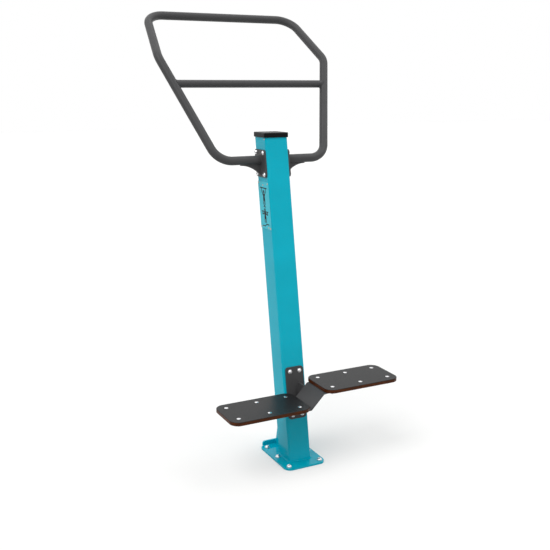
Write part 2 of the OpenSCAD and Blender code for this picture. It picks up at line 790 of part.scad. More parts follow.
module bracket_bolts() color(STEEL) on_bracket(bracket_t + washer_t) difference() {
    dome_bolt(bolt_head_d, bolt_head_h, bolt_rim_h, bolt_d, bracket_bolt_len);
    key_socket(bolt_head_h, bolt_key, bolt_key_h);
}
module bracket_washers() color(STEEL) on_bracket(bracket_t)
    washer(washer_d, bolt_d + 2 * hole_gap, washer_t);
module bracket_rivet_nuts() color(STEEL) on_bracket(0) rivet_nut(post_wall);

module info_plate() color(PALE_TEAL) difference() {
    upright(-half_w - info_t, info_t) rounded([
        for (end = [[1, info_z + info_h], [-1, info_z + info_h], [-1, info_z], [1, info_z]])
            [lean_y(end[1]) + end[0] * info_w / 2, end[1]]
    ], info_corner_r);
    on_info(-cut) cylinder(d = info_rivet_d + 2 * thread_gap, h = info_t + 2 * cut);
}

module info_rivets() color(COPPER) on_info(info_t) {
    dome_bolt(info_rivet_head_d, info_rivet_head_h, info_rivet_rim_h, info_rivet_d,
        info_t + post_wall + info_rivet_bulb_h);
    translate([0, 0, -info_t - post_wall - info_rivet_bulb_h])
        cylinder(d = info_rivet_bulb_d, h = info_rivet_bulb_h);
}

base_plate();
rear_ribs();
post_tube();
post_cap();
anchor_washers();
anchor_dome_nuts();
frame_lower_left();
frame_lower_right();
frame_side_left();
frame_side_right();
frame_grip_bar();
frame_cross_bar();
left_flange();
right_flange();
left_gusset();
right_gusset();
flange_bolts();
flange_washers();
flange_rivet_nuts();
step_bracket();
step_webs();
step_carrier();
wing_ribs();
left_tread();
right_tread();
tread_bolts();
tread_washers();
tread_nuts();
bracket_bolts();
bracket_washers();
bracket_rivet_nuts();
info_plate();
info_rivets();
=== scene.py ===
# %% [markdown]
# # An outdoor pull-up bar station
#
# The imported model already holds every plate, tube, board and screw at its real place. This lesson
# adds what makes them look real: paints, film-faced boards, weld beads and a printed information
# plate. It starts by loading that model.

from math import atan2, cos, pi, radians, sin, sqrt, tan

import bmesh
import bpy
from mathutils import Matrix, Vector


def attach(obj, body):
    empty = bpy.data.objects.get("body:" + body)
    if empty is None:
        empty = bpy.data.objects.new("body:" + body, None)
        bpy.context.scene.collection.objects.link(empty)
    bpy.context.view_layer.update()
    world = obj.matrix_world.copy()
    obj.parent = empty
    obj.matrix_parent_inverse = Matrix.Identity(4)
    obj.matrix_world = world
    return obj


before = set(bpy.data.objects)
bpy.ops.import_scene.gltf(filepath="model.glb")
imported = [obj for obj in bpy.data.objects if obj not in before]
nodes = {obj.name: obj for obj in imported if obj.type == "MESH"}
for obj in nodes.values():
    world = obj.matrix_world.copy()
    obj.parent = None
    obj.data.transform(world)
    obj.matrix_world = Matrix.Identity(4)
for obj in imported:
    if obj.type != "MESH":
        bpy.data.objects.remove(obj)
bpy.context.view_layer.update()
print("parts in the packed model:", len(nodes))

# %% [markdown]
# ## Camera
#
# The photograph looks down on the station from its front left. The camera's place, heading and
# lens were fitted to the post, the boards and the hand frame, so they are set down in numbers.

# %% Camera
CAMERA_PLACE = Vector((-1.7982, -3.3499, 1.8234))
CAMERA_HEADING = 26.72
CAMERA_PITCH = 13.05
CAMERA_LENS = 53.42
SENSOR_WIDTH = 36

camera_data = bpy.data.cameras.new("camera")
camera_data.lens = CAMERA_LENS
camera_data.sensor_width = SENSOR_WIDTH
camera = bpy.data.objects.new("camera", camera_data)
camera.location = CAMERA_PLACE
camera.rotation_euler = (radians(90 - CAMERA_PITCH), 0, radians(-CAMERA_HEADING))
bpy.context.scene.collection.objects.link(camera)
bpy.context.scene.camera = camera
print("camera height in metres:", round(CAMERA_PLACE.z, 3))

# %% [markdown]
# ## Lamps
#
# A product photograph of something this tall needs light that doesn't fade from its top to its
# foot. Area lamps close by would fade, so three sun lamps do the work: their light is the same
# everywhere, and a wide angle makes their shadows soft. A lamp's level is written as what a white
# sheet that faces it sends back, where 1 is white, and a sun's strength is that times pi. The
# Standard view then shows each colour as it is written.

# %% Lamps
bpy.context.scene.view_settings.view_transform = "Standard"
LAMPS = {
    "key": ((-0.56, -0.3, 0.78), 0.42, 40),
    "side": ((0.5, -0.3, 0.8), 0.25, 50),
    "back": ((0.1, 0.6, 0.8), 0.14, 60)
}

for name, (way, level, spread) in LAMPS.items():
    lamp_data = bpy.data.lights.new(name, "SUN")
    lamp_data.energy = level * pi
    lamp_data.angle = radians(spread)
    lamp = bpy.data.objects.new(name, lamp_data)
    lamp.rotation_euler = Vector(way).to_track_quat("Z", "Y").to_euler()
    bpy.context.scene.collection.objects.link(lamp)
    print("lamp", name, "level", level, "spread in degrees", spread)

# %% [markdown]
# ## Nodes and colours
#
# A material is a small graph of nodes. One function adds a node with its settings and the links
# that come into it. Another takes a colour as a paint chart or a web page gives it, in sRGB, and
# turns it into the linear values that a shader works with.

# %% Node and colour helpers


def add_node(tree, kind, links=None, **settings):
    """Adds one node. Names in settings are its properties or sockets; links are socket: source."""
    made = tree.nodes.new(kind)
    for name, value in settings.items():
        if hasattr(made, name):
            setattr(made, name, value)
        else:
            made.inputs[name.replace("_", " ")].default_value = value
    for name, source in (links or {}).items():
        tree.links.new(source, made.inputs[name])
    return made


def linear(hex_colour):
    """The linear RGBA of an sRGB colour such as #1aa4bb."""
    parts = [int(hex_colour[i : i + 2], 16) / 255 for i in (1, 3, 5)]
    return [c / 12.92 if c <= 0.04045 else ((c + 0.055) / 1.055) ** 2.4 for c in parts] + [1]


print("a middle grey, #808080, is linear", round(linear("#808080")[0], 3))

# %% [markdown]
# ## World
#
# The world fills in from all sides at a plain level, so that with the lamps a colour renders
# about as it is written. What camera rays and mirror rays see of the world is white: that is the
# background, and it lights nothing.

# %% World
WORLD_FILL = 0.56


def background_rays(tree):
    """1 for the rays that see the background: camera, mirror and glass rays."""
    rays = add_node(tree, "ShaderNodeLightPath")
    mirror = add_node(
        tree, "ShaderNodeMath",
        {0: rays.outputs["Is Glossy Ray"], 1: rays.outputs["Is Transmission Ray"]},
        operation="MAXIMUM"
    )
    seen = add_node(
        tree, "ShaderNodeMath", {0: rays.outputs["Is Camera Ray"], 1: mirror.outputs[0]},
        operation="MAXIMUM"
    )
    return seen.outputs[0]


world = bpy.data.worlds.new("studio")
world.use_nodes = True
bpy.context.scene.world = world
sky = world.node_tree
sky.nodes.clear()
fill = add_node(sky, "ShaderNodeBackground", Color=linear("#ffffff"), Strength=WORLD_FILL)
white = add_node(sky, "ShaderNodeBackground", Color=linear("#ffffff"), Strength=1.0)
choice = add_node(
    sky, "ShaderNodeMixShader", {0: background_rays(sky), 1: fill.outputs[0], 2: white.outputs[0]}
)
add_node(sky, "ShaderNodeOutputWorld", {"Surface": choice.outputs[0]})
print("world fill:", WORLD_FILL)

# %% [markdown]
# ## Objects and materials
#
# A bmesh is a mesh being worked on, and it becomes an object once it is done. Every object here
# stays at the origin with its place in its mesh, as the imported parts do, so a pattern that reads
# Object coordinates stays where it is. A material starts empty, with only its output node.

# %% Object and material helpers


def new_object(name, shape):
    """Turns a bmesh into an object at the origin and links it."""
    data = bpy.data.meshes.new(name)
    shape.to_mesh(data)
    shape.free()
    made = bpy.data.objects.new(name, data)
    bpy.context.scene.collection.objects.link(made)
    return made


def new_material(name):
    """An empty material with its output node; returns the material, its tree and the output."""
    made = bpy.data.materials.new(name)
    made.use_nodes = True
    made.node_tree.nodes.clear()
    return made, made.node_tree, add_node(made.node_tree, "ShaderNodeOutputMaterial")


# %% [markdown]
# ## Floor
#
# A studio's floor is a wide roll of paper. One flat square does for it, large enough that its far
# edge lies at the horizon of every view, and it takes the station's soft shadow.

# %% Floor
FLOOR_SIZE = 60.0

floor_sheet = bmesh.new()
bmesh.ops.create_grid(floor_sheet, x_segments=1, y_segments=1, size=FLOOR_SIZE / 2)
floor = new_object("floor", floor_sheet)
print("floor side in metres:", FLOOR_SIZE)

# %% [markdown]
# ## Paper
#
# Matt paper scatters light evenly, so the eye sees no shine on it, only the shadow. Lit at this
# level it is a light grey, so the rays that see the background get the rest up to white on top,
# and it meets the white world without a horizon. Other rays don't, so nothing is lit by it.

# %% Paper
FLOOR_LIFT = 0.36

paper, paper_tree, paper_end = new_material("matt_white_paper")
paper_skin = add_node(paper_tree, "ShaderNodeBsdfDiffuse", Color=linear("#cccccb"), Roughness=1.0)
paper_lift = add_node(
    paper_tree, "ShaderNodeEmission", Color=linear("#ffffff"), Strength=FLOOR_LIFT
)
paper_none = add_node(paper_tree, "ShaderNodeEmission", Color=linear("#000000"), Strength=0.0)
paper_seen = add_node(
    paper_tree, "ShaderNodeMixShader",
    {0: background_rays(paper_tree), 1: paper_none.outputs[0], 2: paper_lift.outputs[0]}
)
paper_sum = add_node(
    paper_tree, "ShaderNodeAddShader", {0: paper_skin.outputs[0], 1: paper_seen.outputs[0]}
)
paper_tree.links.new(paper_sum.outputs[0], paper_end.inputs["Surface"])
floor.data.materials.append(paper)
print("white added for background rays:", FLOOR_LIFT)

# %% [markdown]
# ## Powder coat
#
# Steel equipment is sprayed with dry polyester powder and baked, which gives a hard, even skin with
# a faint orange-peel ripple. The post and base plate have it in gloss teal, so the eye sees clear
# soft reflections; the hand frame and the step brackets have it in a duller dark grey. Real orange
# peel is under a millimetre across, so it is drawn at about 2 mm to show, and a much larger noise
# shifts the colour a little, as dust and handling do. The specular level is below the usual 0.5,
# because the white studio on all sides would otherwise wash the colours out.

# %% Powder coat
MM = 0.001
CLOUD_MM = 180
NOISE_RANGE = (0.3, 0.7)
SHADE_RANGE = (0.95, 1.04)
RIPPLE_STRENGTH = 0.35


def powder_coat(name, colour, roughness, specular, ripple_mm, ripple_depth):
    """A baked polyester powder coat, with an orange-peel ripple of this size and depth in mm."""
    made, tree, end = new_material(name)
    place = add_node(tree, "ShaderNodeTexCoord")
    ripple = add_node(
        tree, "ShaderNodeTexNoise", {"Vector": place.outputs["Object"]},
        Scale=1 / (ripple_mm * MM), Detail=2.0
    )
    cloud = add_node(
        tree, "ShaderNodeTexNoise", {"Vector": place.outputs["Object"]},
        Scale=1 / (CLOUD_MM * MM), Detail=3.0
    )
    shift = add_node(
        tree, "ShaderNodeMapRange", {"Value": cloud.outputs["Fac"]},
        From_Min=NOISE_RANGE[0], From_Max=NOISE_RANGE[1],
        To_Min=SHADE_RANGE[0], To_Max=SHADE_RANGE[1]
    )
    tint = add_node(
        tree, "ShaderNodeHueSaturation", {"Value": shift.outputs[0]}, Color=linear(colour)
    )
    bump = add_node(
        tree, "ShaderNodeBump", {"Height": ripple.outputs["Fac"]},
        Strength=RIPPLE_STRENGTH, Distance=ripple_depth * MM
    )
    skin = add_node(
        tree, "ShaderNodeBsdfPrincipled",
        {"Base Color": tint.outputs[0], "Normal": bump.outputs[0]},
        Roughness=roughness, Specular_IOR_Level=specular
    )
    tree.links.new(skin.outputs[0], end.inputs["Surface"])
    return made


teal_gloss = powder_coat(
    "powder_coated_steel_teal", "#00b4cb",
    roughness=0.1, specular=0.13, ripple_mm=2.5, ripple_depth=0.02
)
grey_matt = powder_coat(
    "powder_coated_steel_grey", "#464647",
    roughness=0.42, specular=0.2, ripple_mm=1.6, ripple_depth=0.06
)
print("coats:", teal_gloss.name, grey_matt.name)

# %% [markdown]
# ## What gets which coat
#
# Each painted part comes out of the oven in one colour, before anything is screwed together, so a
# coat belongs to a whole part.

# %% Painted parts
TEAL_PARTS = ["post_tube", "base_plate", "rear_ribs"]
GREY_PARTS = [
    "frame_lower_left", "frame_lower_right", "frame_side_left", "frame_side_right",
    "frame_grip_bar", "frame_cross_bar", "left_flange", "right_flange", "left_gusset",
    "right_gusset", "step_bracket", "step_webs", "step_carrier", "wing_ribs"
]


def dress(names, material):
    """Gives CAD parts one material."""
    for name in names:
        nodes[name].data.materials.clear()
        nodes[name].data.materials.append(material)


dress(TEAL_PARTS, teal_gloss)
dress(GREY_PARTS, grey_matt)
print("painted parts:", len(TEAL_PARTS) + len(GREY_PARTS))

# %% [markdown]
# ## The boards' film
#
# The steps are birch plywood pressed between dark phenolic films, smooth to the hand but for a fine
# anti-slip grain, which the eye sees as a speckled dark grey. The grain's cells are drawn at 5 mm,
# because the real ones are too fine to show. The same cells colour the film and press into it.

# %% Film with its grain
GRAIN_MM = 5
GRAIN_DEPTH_MM = 0.2
GRAIN_STRENGTH = 0.4
FILM_STOPS = ((0.1, "#29292a"), (0.7, "#111112"))

board, board_tree, board_end = new_material("film_faced_birch_plywood")
board_place = add_node(board_tree, "ShaderNodeTexCoord")
grain = add_node(
    board_tree, "ShaderNodeTexVoronoi", {"Vector": board_place.outputs["Object"]},
    Scale=1 / (GRAIN_MM * MM)
)
film = add_node(board_tree, "ShaderNodeValToRGB", {"Fac": grain.outputs["Distance"]})
for element, (position, colour) in zip(film.color_ramp.elements, FILM_STOPS):
    element.position = position
    element.color = linear(colour)
board_bump = add_node(
    board_tree, "ShaderNodeBump", {"Height": grain.outputs["Distance"]},
    Strength=GRAIN_STRENGTH, Distance=GRAIN_DEPTH_MM * MM
)
print("grain as drawn, in mm:", GRAIN_MM)

# %% [markdown]
# ## The boards' edges
#
# The cut edges are sealed with a red-brown varnish that leaves the plies' streaks visible. A noise
# does for them, stretched to 30 mm along the board and pressed to a ply's 1.5 mm in height.

# %% Varnished ply edges
PLY_MM = 1.5
STREAK_MM = 30
EDGE_STOPS = ((0.34, "#2b0f00"), (0.66, "#5b2a02"))

stretch = add_node(
    board_tree, "ShaderNodeMapping", {"Vector": board_place.outputs["Object"]},
    Scale=(1 / (STREAK_MM * MM), 1 / (STREAK_MM * MM), 1 / (PLY_MM * MM))
)
plies = add_node(
    board_tree, "ShaderNodeTexNoise", {"Vector": stretch.outputs[0]}, Scale=1.0, Detail=4.0
)
edge = add_node(board_tree, "ShaderNodeValToRGB", {"Fac": plies.outputs["Fac"]})
for element, (position, colour) in zip(edge.color_ramp.elements, EDGE_STOPS):
    element.position = position
    element.color = linear(colour)
print("ply as drawn, in mm:", PLY_MM)

# %% [markdown]
# ## Film and edges in one material
#
# A board is one solid, so one material does both: where a face looks up or down it shows the
# film, and where it looks sideways the edge colours take over.

# %% Boards
FACES_UP = 0.5

facing = add_node(board_tree, "ShaderNodeNewGeometry")
split = add_node(board_tree, "ShaderNodeSeparateXYZ", {0: facing.outputs["True Normal"]})
upness = add_node(board_tree, "ShaderNodeMath", {0: split.outputs["Z"]}, operation="ABSOLUTE")
flat = add_node(board_tree, "ShaderNodeMath", {0: upness.outputs[0]}, operation="GREATER_THAN")
flat.inputs[1].default_value = FACES_UP
# A Mix node for colours has its factor at socket 0, its colours at 6 and 7, its result at 2
board_colour = add_node(
    board_tree, "ShaderNodeMix", {0: flat.outputs[0], 6: edge.outputs[0], 7: film.outputs[0]},
    data_type="RGBA"
)
board_skin = add_node(
    board_tree, "ShaderNodeBsdfPrincipled",
    {"Base Color": board_colour.outputs[2], "Normal": board_bump.outputs[0]},
    Roughness=0.36, Specular_IOR_Level=0.14
)
board_tree.links.new(board_skin.outputs[0], board_end.inputs["Surface"])
BOARDS = ["left_tread", "right_tread"]
dress(BOARDS, board)
print("boards:", len(BOARDS))

# %% [markdown]
# ## Stainless screws and copper rivets
#
# The fasteners are turned from A2 stainless steel: bright, with a soft blur from the tool marks.
# The rivets of the information plate have copper-coloured heads, a little duller. In both, a fine
# noise makes the shine uneven, as the marks of a tool do.

# %% Metals
TOOL_MARKS = (0.8, 1.2)
FASTENERS = [
    "anchor_washers", "anchor_dome_nuts", "flange_bolts", "flange_washers", "flange_rivet_nuts",
    "tread_bolts", "tread_washers", "tread_nuts", "bracket_bolts", "bracket_washers",
    "bracket_rivet_nuts"
]


def bare_metal(name, colour, roughness, mark_mm):
    """A metal with fine turned or drawn marks that vary its gloss."""
    made, tree, end = new_material(name)
    place = add_node(tree, "ShaderNodeTexCoord")
    marks = add_node(
        tree, "ShaderNodeTexNoise", {"Vector": place.outputs["Object"]},
        Scale=1 / (mark_mm * MM), Detail=4.0
    )
    gloss = add_node(
        tree, "ShaderNodeMapRange", {"Value": marks.outputs["Fac"]},
        To_Min=roughness * TOOL_MARKS[0], To_Max=roughness * TOOL_MARKS[1]
    )
    skin = add_node(
        tree, "ShaderNodeBsdfPrincipled", {"Roughness": gloss.outputs[0]},
        Base_Color=linear(colour), Metallic=1.0
    )
    tree.links.new(skin.outputs[0], end.inputs["Surface"])
    return made


stainless = bare_metal("stainless_steel_a2", "#dcdcde", roughness=0.22, mark_mm=1.5)
copper = bare_metal("copper_plated_rivet", "#e0a07a", roughness=0.35, mark_mm=1.0)
dress(FASTENERS, stainless)
dress(["info_rivets"], copper)
print("bare metal parts:", len(FASTENERS) + 1)

# %% [markdown]
# ## Black cap and information plate
#
# The cap is moulded polyethylene, nearly black, with the dull shine of a waxy plastic. The
# information plate is aluminium under a thin lacquer, a little paler and duller than the post
# behind it. Moulded plastic and lacquer both have a faint ripple and an even colour, as the powder
# coat has, so its function makes them too, with a ripple of their own.

# %% Plastic and lacquer
cap_plastic = powder_coat(
    "moulded_polyethylene_black", "#0b0b0c",
    roughness=0.35, specular=0.1, ripple_mm=1.2, ripple_depth=0.04
)
sign_paint = powder_coat(
    "lacquered_aluminium_pale_teal", "#46c6d8",
    roughness=0.3, specular=0.1, ripple_mm=3.0, ripple_depth=0.01
)
dress(["post_cap"], cap_plastic)
dress(["info_plate"], sign_paint)
print("cap and plate:", cap_plastic.name, sign_paint.name)

# %% [markdown]
# ## The post's lean
#
# Most welds follow the post, which leans back by 9.6 degrees. Two small helpers give the post's
# centre line at a height, and a point given across the post, along it and out of its front face.

# %% Places on the leaning post
LEAN = radians(9.6)
POST_HALF = 60 * MM
CAP_FOOT = 1581 * MM
UP_POST = Vector((0, sin(LEAN), cos(LEAN)))
OUT_FRONT = Vector((0, -cos(LEAN), sin(LEAN)))


def lean_y(z):
    """How far the post's centre line has moved back at height z."""
    return z * tan(LEAN)


def on_post(across, along, out):
    """A point given in the post's own directions."""
    return Vector((across, 0, 0)) + UP_POST * along + OUT_FRONT * out


print("centre line under the cap, in mm back:", round(lean_y(CAP_FOOT) / MM, 1))

# %% [markdown]
# ## Weld beads
#
# The plates and tubes are joined by MIG fillet welds: metal laid along the corner in small
# overlapping drops, then painted over. A bead needs a path of points a drop apart, so the first
# helper puts points along straight lines, and the second turns a path to the station's other side.

# %% Paths of drops
DROP_STEP = 2.6 * MM


def spaced(points, closed):
    """Points along a path at about one drop apart."""
    ends = list(points) + ([points[0]] if closed else [])
    made = []
    for start, end in zip(ends, ends[1:]):
        count = max(1, round((end - start).length / DROP_STEP))
        made += [start.lerp(end, i / count) for i in range(count)]
    return made if closed else made + [ends[-1]]


def mirrored(points):
    """The same points on the station's other side."""
    return [Vector((-p.x, p.y, p.z)) for p in points]


sample_path = spaced([Vector((0, 0, 0)), Vector((100 * MM, 0, 0))], closed=False)
print("points on 100 mm of weld:", len(sample_path))

# %% [markdown]
# ## One bead
#
# A bead is a ring of a few points, extruded step by step along its path. Every second ring is a
# little smaller, which gives the drops. A closed path is bridged back to its start, and an open
# one is filled at both ends, so that every bead is a closed skin.

# %% A bead along its path
BEAD_SIDES = 8
SMALL_RING = 0.86


def laid(bead, path, side, radius, closed):
    """Lays one bead in the bmesh along path; side is any direction that the path never takes."""
    rings = len(path)
    ring = bmesh.ops.create_circle(bead, segments=BEAD_SIDES, radius=radius)["verts"]
    edges = list(dict.fromkeys(edge for vert in ring for edge in vert.link_edges))
    first, placed = edges, Matrix()
    for i, point in enumerate(path):
        after = path[(i + 1) % rings] if closed else path[min(i + 1, rings - 1)]
        before = path[i - 1] if closed else path[max(i - 1, 0)]
        along = (after - before).normalized()
        across = side.cross(along).normalized()
        size = SMALL_RING if i % 2 else 1.0
        turned = Matrix((across, along.cross(across), along)).transposed().to_4x4()
        place = Matrix.Translation(point) @ turned @ Matrix.Diagonal((size, size, 1, 1))
        if i:
            grown = bmesh.ops.extrude_edge_only(bead, edges=edges)["geom"]
            ring = [v for v in grown if isinstance(v, bmesh.types.BMVert)]
            edges = [e for e in grown if isinstance(e, bmesh.types.BMEdge)]
        bmesh.ops.transform(bead, matrix=place @ placed.inverted(), verts=ring)
        placed = place
    if closed:
        bmesh.ops.bridge_loops(bead, edges=first + edges)
    else:
        bmesh.ops.contextual_create(bead, geom=first)
        bmesh.ops.contextual_create(bead, geom=edges)


sample = bmesh.new()
laid(sample, sample_path, Vector((0, 0, 1)), radius=2.4 * MM, closed=False)
print("faces of 100 mm of weld:", len(sample.faces))
sample.free()

# %% [markdown]
# ## A weld of several beads
#
# The beads of one place become one object, so that a place is one piece. Its faces are turned
# outwards and shaded smooth, because molten metal has no edges, and it gets the paint of the steel
# under it.

# %% Weld objects


def weld(name, runs, radius, material):
    """Makes one object of several beads, each given as its points, a side and whether it closes."""
    bead = bmesh.new()
    for points, side, closed in runs:
        laid(bead, spaced(points, closed), Vector(side), radius, closed)
    bmesh.ops.recalc_face_normals(bead, faces=bead.faces)
    for face in bead.faces:
        face.smooth = True
    made = new_object(name, bead)
    made.data.materials.append(material)
    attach(made, "root")
    print(name, "beads:", len(runs), "faces:", len(made.data.polygons))


print("sides of a bead:", BEAD_SIDES)

# %% [markdown]
# ## Welds at the post's foot
#
# The post stands on the base plate in one closed fillet round its foot, the heaviest weld of the
# station. Its path is a level loop that runs just outside the tube's rounded corners.

# %% Foot weld
BASE_TOP = 10 * MM
FOOT_CORNER = 10 * MM
FOOT_OUT = 1 * MM
FOOT_LIFT = 0.5 * MM
FOOT_BEAD = 5 * MM
CORNER_STEPS = 6


def rounded_loop(half_x, half_y, middle, radius):
    """A closed level loop with rounded corners."""
    loop = []
    for turn, (sx, sy) in enumerate(((1, 1), (-1, 1), (-1, -1), (1, -1))):
        corner = Vector((sx * (half_x - radius), sy * (half_y - radius), 0))
        for i in range(CORNER_STEPS + 1):
            angle = (turn + i / CORNER_STEPS) * pi / 2
            loop.append(middle + corner + Vector((radius * cos(angle), radius * sin(angle), 0)))
    return loop


foot_middle = Vector((0, lean_y(BASE_TOP), BASE_TOP + FOOT_LIFT))
foot = rounded_loop(
    POST_HALF + FOOT_OUT, (POST_HALF + FOOT_OUT) / cos(LEAN), foot_middle, FOOT_CORNER
)
weld("weld_post_foot", [(foot, (0, 0, 1), True)], FOOT_BEAD, teal_gloss)

# %% [markdown]
# ## Welds of the rear ribs
#
# The two slender ribs behind the post keep it from bending at its foot. Each is welded on both
# faces to the post's back, to the plate and to the plate's upturned edge. The rib's lower corner is
# cut off there, as welders do, so that the plate's bend stays free, and the beads stop before it.

# %% Rib welds
RIB_TOP = 300 * MM
RIB_FACES = ((12 * MM, -1), (20 * MM, 1))
RIB_BEAD = 2.6 * MM
RIB_OUT = 0.8 * MM
RIB_END = 4 * MM
RIB_SNIPE = 9 * MM
LIP_Y = 172 * MM
LIP_TOP = 34 * MM
LIP_END = 1 * MM


def post_back(x, z):
    """A point on the post's back face."""
    return Vector((x, lean_y(z) + POST_HALF / cos(LEAN), z))


rib_runs = []
for face_x, outward in RIB_FACES:
    x = face_x + outward * RIB_OUT
    rib_lines = [
        [post_back(x, BASE_TOP + RIB_END), post_back(x, RIB_TOP - RIB_END)],
        [
            post_back(x, BASE_TOP) + Vector((0, RIB_END, 0)),
            Vector((x, LIP_Y - RIB_SNIPE, BASE_TOP))
        ],
        [Vector((x, LIP_Y, BASE_TOP + RIB_SNIPE)), Vector((x, LIP_Y, LIP_TOP - LIP_END))]
    ]
    rib_runs += [(line, (1, 0, 0), False) for line in rib_lines]
    rib_runs += [(mirrored(line), (1, 0, 0), False) for line in rib_lines]
weld("weld_rear_ribs", rib_runs, RIB_BEAD, teal_gloss)

# %% [markdown]
# ## Welds of the flanges
#
# The lower bars are welded all round to their flanges, in a ring a little outside the flange's
# face. The curved gussets are welded on both faces, up the flange and along the bar. A gusset is
# 8 mm thick and meets the round bar off its middle, so the bead lies a little above the bar's
# lowest line.

# %% Flange welds
BAR_Z = 1473 * MM
BAR_Y = lean_y(BAR_Z)
BAR_ALONG = BAR_Z / cos(LEAN)
TUBE_R = 21.2 * MM
FLANGE_X = 68 * MM
FLANGE_BEAD = 2.6 * MM
RING_OUT = 1 * MM
RING_POINTS = 24
RING_ANGLES = [2 * pi * i / RING_POINTS for i in range(RING_POINTS)]
GUSSET_HALF = 4 * MM
GUSSET_OUT = 0.6 * MM
GUSSET_REACH = 106 * MM
GUSSET_FOOT = 76 * MM
GUSSET_GAP = 3 * MM

ring = [
    Vector((FLANGE_X + RING_OUT, BAR_Y + TUBE_R * cos(a), BAR_Z + TUBE_R * sin(a)))
    for a in RING_ANGLES
]
bar_runs = [(ring, (1, 0, 0), True), (mirrored(ring), (1, 0, 0), True)]
under_bar = BAR_ALONG - sqrt(TUBE_R ** 2 - GUSSET_HALF ** 2)
for face in (-1, 1):
    out = face * (GUSSET_HALF + GUSSET_OUT)
    gusset_lines = [
        [
            on_post(FLANGE_X, BAR_ALONG - GUSSET_FOOT, out),
            on_post(FLANGE_X, BAR_ALONG - TUBE_R - GUSSET_GAP, out)
        ],
        [
            on_post(FLANGE_X + GUSSET_GAP, under_bar, out),
            on_post(FLANGE_X + GUSSET_REACH, under_bar, out)
        ]
    ]
    for line in gusset_lines:
        bar_runs += [(line, (0, 1, 0), False), (mirrored(line), (0, 1, 0), False)]
weld("weld_flanges_and_gussets", bar_runs, FLANGE_BEAD, grey_matt)

# %% [markdown]
# ## Welds of the cross bar
#
# The cross bar's shaped ends meet round tubes, so their beads are saddles: for each angle round
# the bar, the bead lies where that line of the bar meets the side tube. That place is where the
# line's distance from the tube's axis is the tube's radius, which is a quadratic in the step.

# %% Cross bar welds
CROSS_R = 19 * MM
CROSS_BEAD = 2.4 * MM
SADDLE_OUT = 0.6 * MM
LOW_CORNER = Vector((287 * MM, BAR_Y, BAR_Z))
KINK = Vector((463 * MM, BAR_Y + 315 * MM, BAR_Z + 487 * MM))
CROSS_SHARE = 360 / 487

tube_way = (KINK - LOW_CORNER).normalized()
cross_end = LOW_CORNER.lerp(KINK, CROSS_SHARE)


def saddle(angle):
    """Where the cross bar's line at this angle meets the side tube."""
    start = cross_end + Vector((0, CROSS_R * cos(angle), CROSS_R * sin(angle))) - LOW_CORNER
    step = Vector((-1, 0, 0))
    flat_start = start - tube_way * start.dot(tube_way)
    flat_step = step - tube_way * step.dot(tube_way)
    a, b = flat_step.dot(flat_step), 2 * flat_start.dot(flat_step)
    c = flat_start.dot(flat_start) - (TUBE_R + SADDLE_OUT) ** 2
    return LOW_CORNER + start + step * (-b + sqrt(b * b - 4 * a * c)) / (2 * a)


saddle_line = [saddle(a) for a in RING_ANGLES]
cross_runs = [(saddle_line, (1, 0, 0), True), (mirrored(saddle_line), (1, 0, 0), True)]
weld("weld_cross_bar", cross_runs, CROSS_BEAD, grey_matt)

# %% [markdown]
# ## Welds under the steps
#
# Two upright webs carry the bent carrier. They are welded to the bracket on both faces, and along
# the underside of the carrier's slope, so each bead's height follows the slope at that web's face.
# The ribs under the wings only keep them from flexing, and so they get short stitches.

# %% Step welds
STEP_BEAD = 2.4 * MM
BEAD_OFF = 0.7 * MM
BRACKET_OUT = 68 * MM
# Each face of a web: its place across, which way it looks, and how high its bead runs
WEB_FACES = (
    (-22 * MM, -1, 337 * MM), (-14 * MM, 1, 337 * MM),
    (14 * MM, -1, 398 * MM), (22 * MM, 1, 398 * MM)
)
WEB_ROOT = 262 * MM
CARRIER_YS = (-192 * MM, -62 * MM)
SLOPE_FOOT = Vector((-31.46 * MM, 0, 338.4 * MM))
SLOPE_RISE = 70 / 68
# Each wing: its side, and the height of its rib's weld
WINGS = ((-1, 338.5 * MM), (1, 408.5 * MM))
WING_RIB_Y = -142 * MM
WING_RIB_HALF = 3 * MM
STITCHES = ((60 * MM, 100 * MM), (200 * MM, 240 * MM), (350 * MM, 390 * MM))


def slope_under(x):
    """Height of the carrier's sloping underside at x."""
    return SLOPE_FOOT.z + (x - SLOPE_FOOT.x) * SLOPE_RISE


def bracket_front(x, z):
    """A point on the bracket's front face."""
    return Vector((x, lean_y(z) - BRACKET_OUT / cos(LEAN), z))


step_runs = []
for face_x, outward, top in WEB_FACES:
    x = face_x + outward * BEAD_OFF
    under = slope_under(x) - BEAD_OFF
    step_runs += [
        ([bracket_front(x, WEB_ROOT), bracket_front(x, top)], (1, 0, 0), False),
        ([Vector((x, y, under)) for y in CARRIER_YS], (1, 0, 0), False)
    ]
for wing, under in WINGS:
    for ends in STITCHES:
        for y in (WING_RIB_Y - WING_RIB_HALF, WING_RIB_Y + WING_RIB_HALF):
            step_runs.append(([Vector((wing * x, y, under)) for x in ends], (0, 1, 0), False))
weld("weld_steps", step_runs, STEP_BEAD, grey_matt)

# %% [markdown]
# ## Drawing on the information plate
#
# The plate leans with the post, so its picture is drawn flat, in millimetres to the back of the
# plate's middle line and over its lower edge, and one helper finds each point's real place. Every
# mark is a strip with round ends, and a strip without length is a dot.

# %% Marks on the plate
PLATE_FACE = -62 * MM
PLATE_FOOT = 1140 * MM
ROUND_STEPS = 8


def plate_point(u, v):
    """A point on the plate: u mm to the back of its middle line, v mm over its lower edge."""
    z = PLATE_FOOT + v * MM
    return Vector((PLATE_FACE, lean_y(z) + u * MM, z))


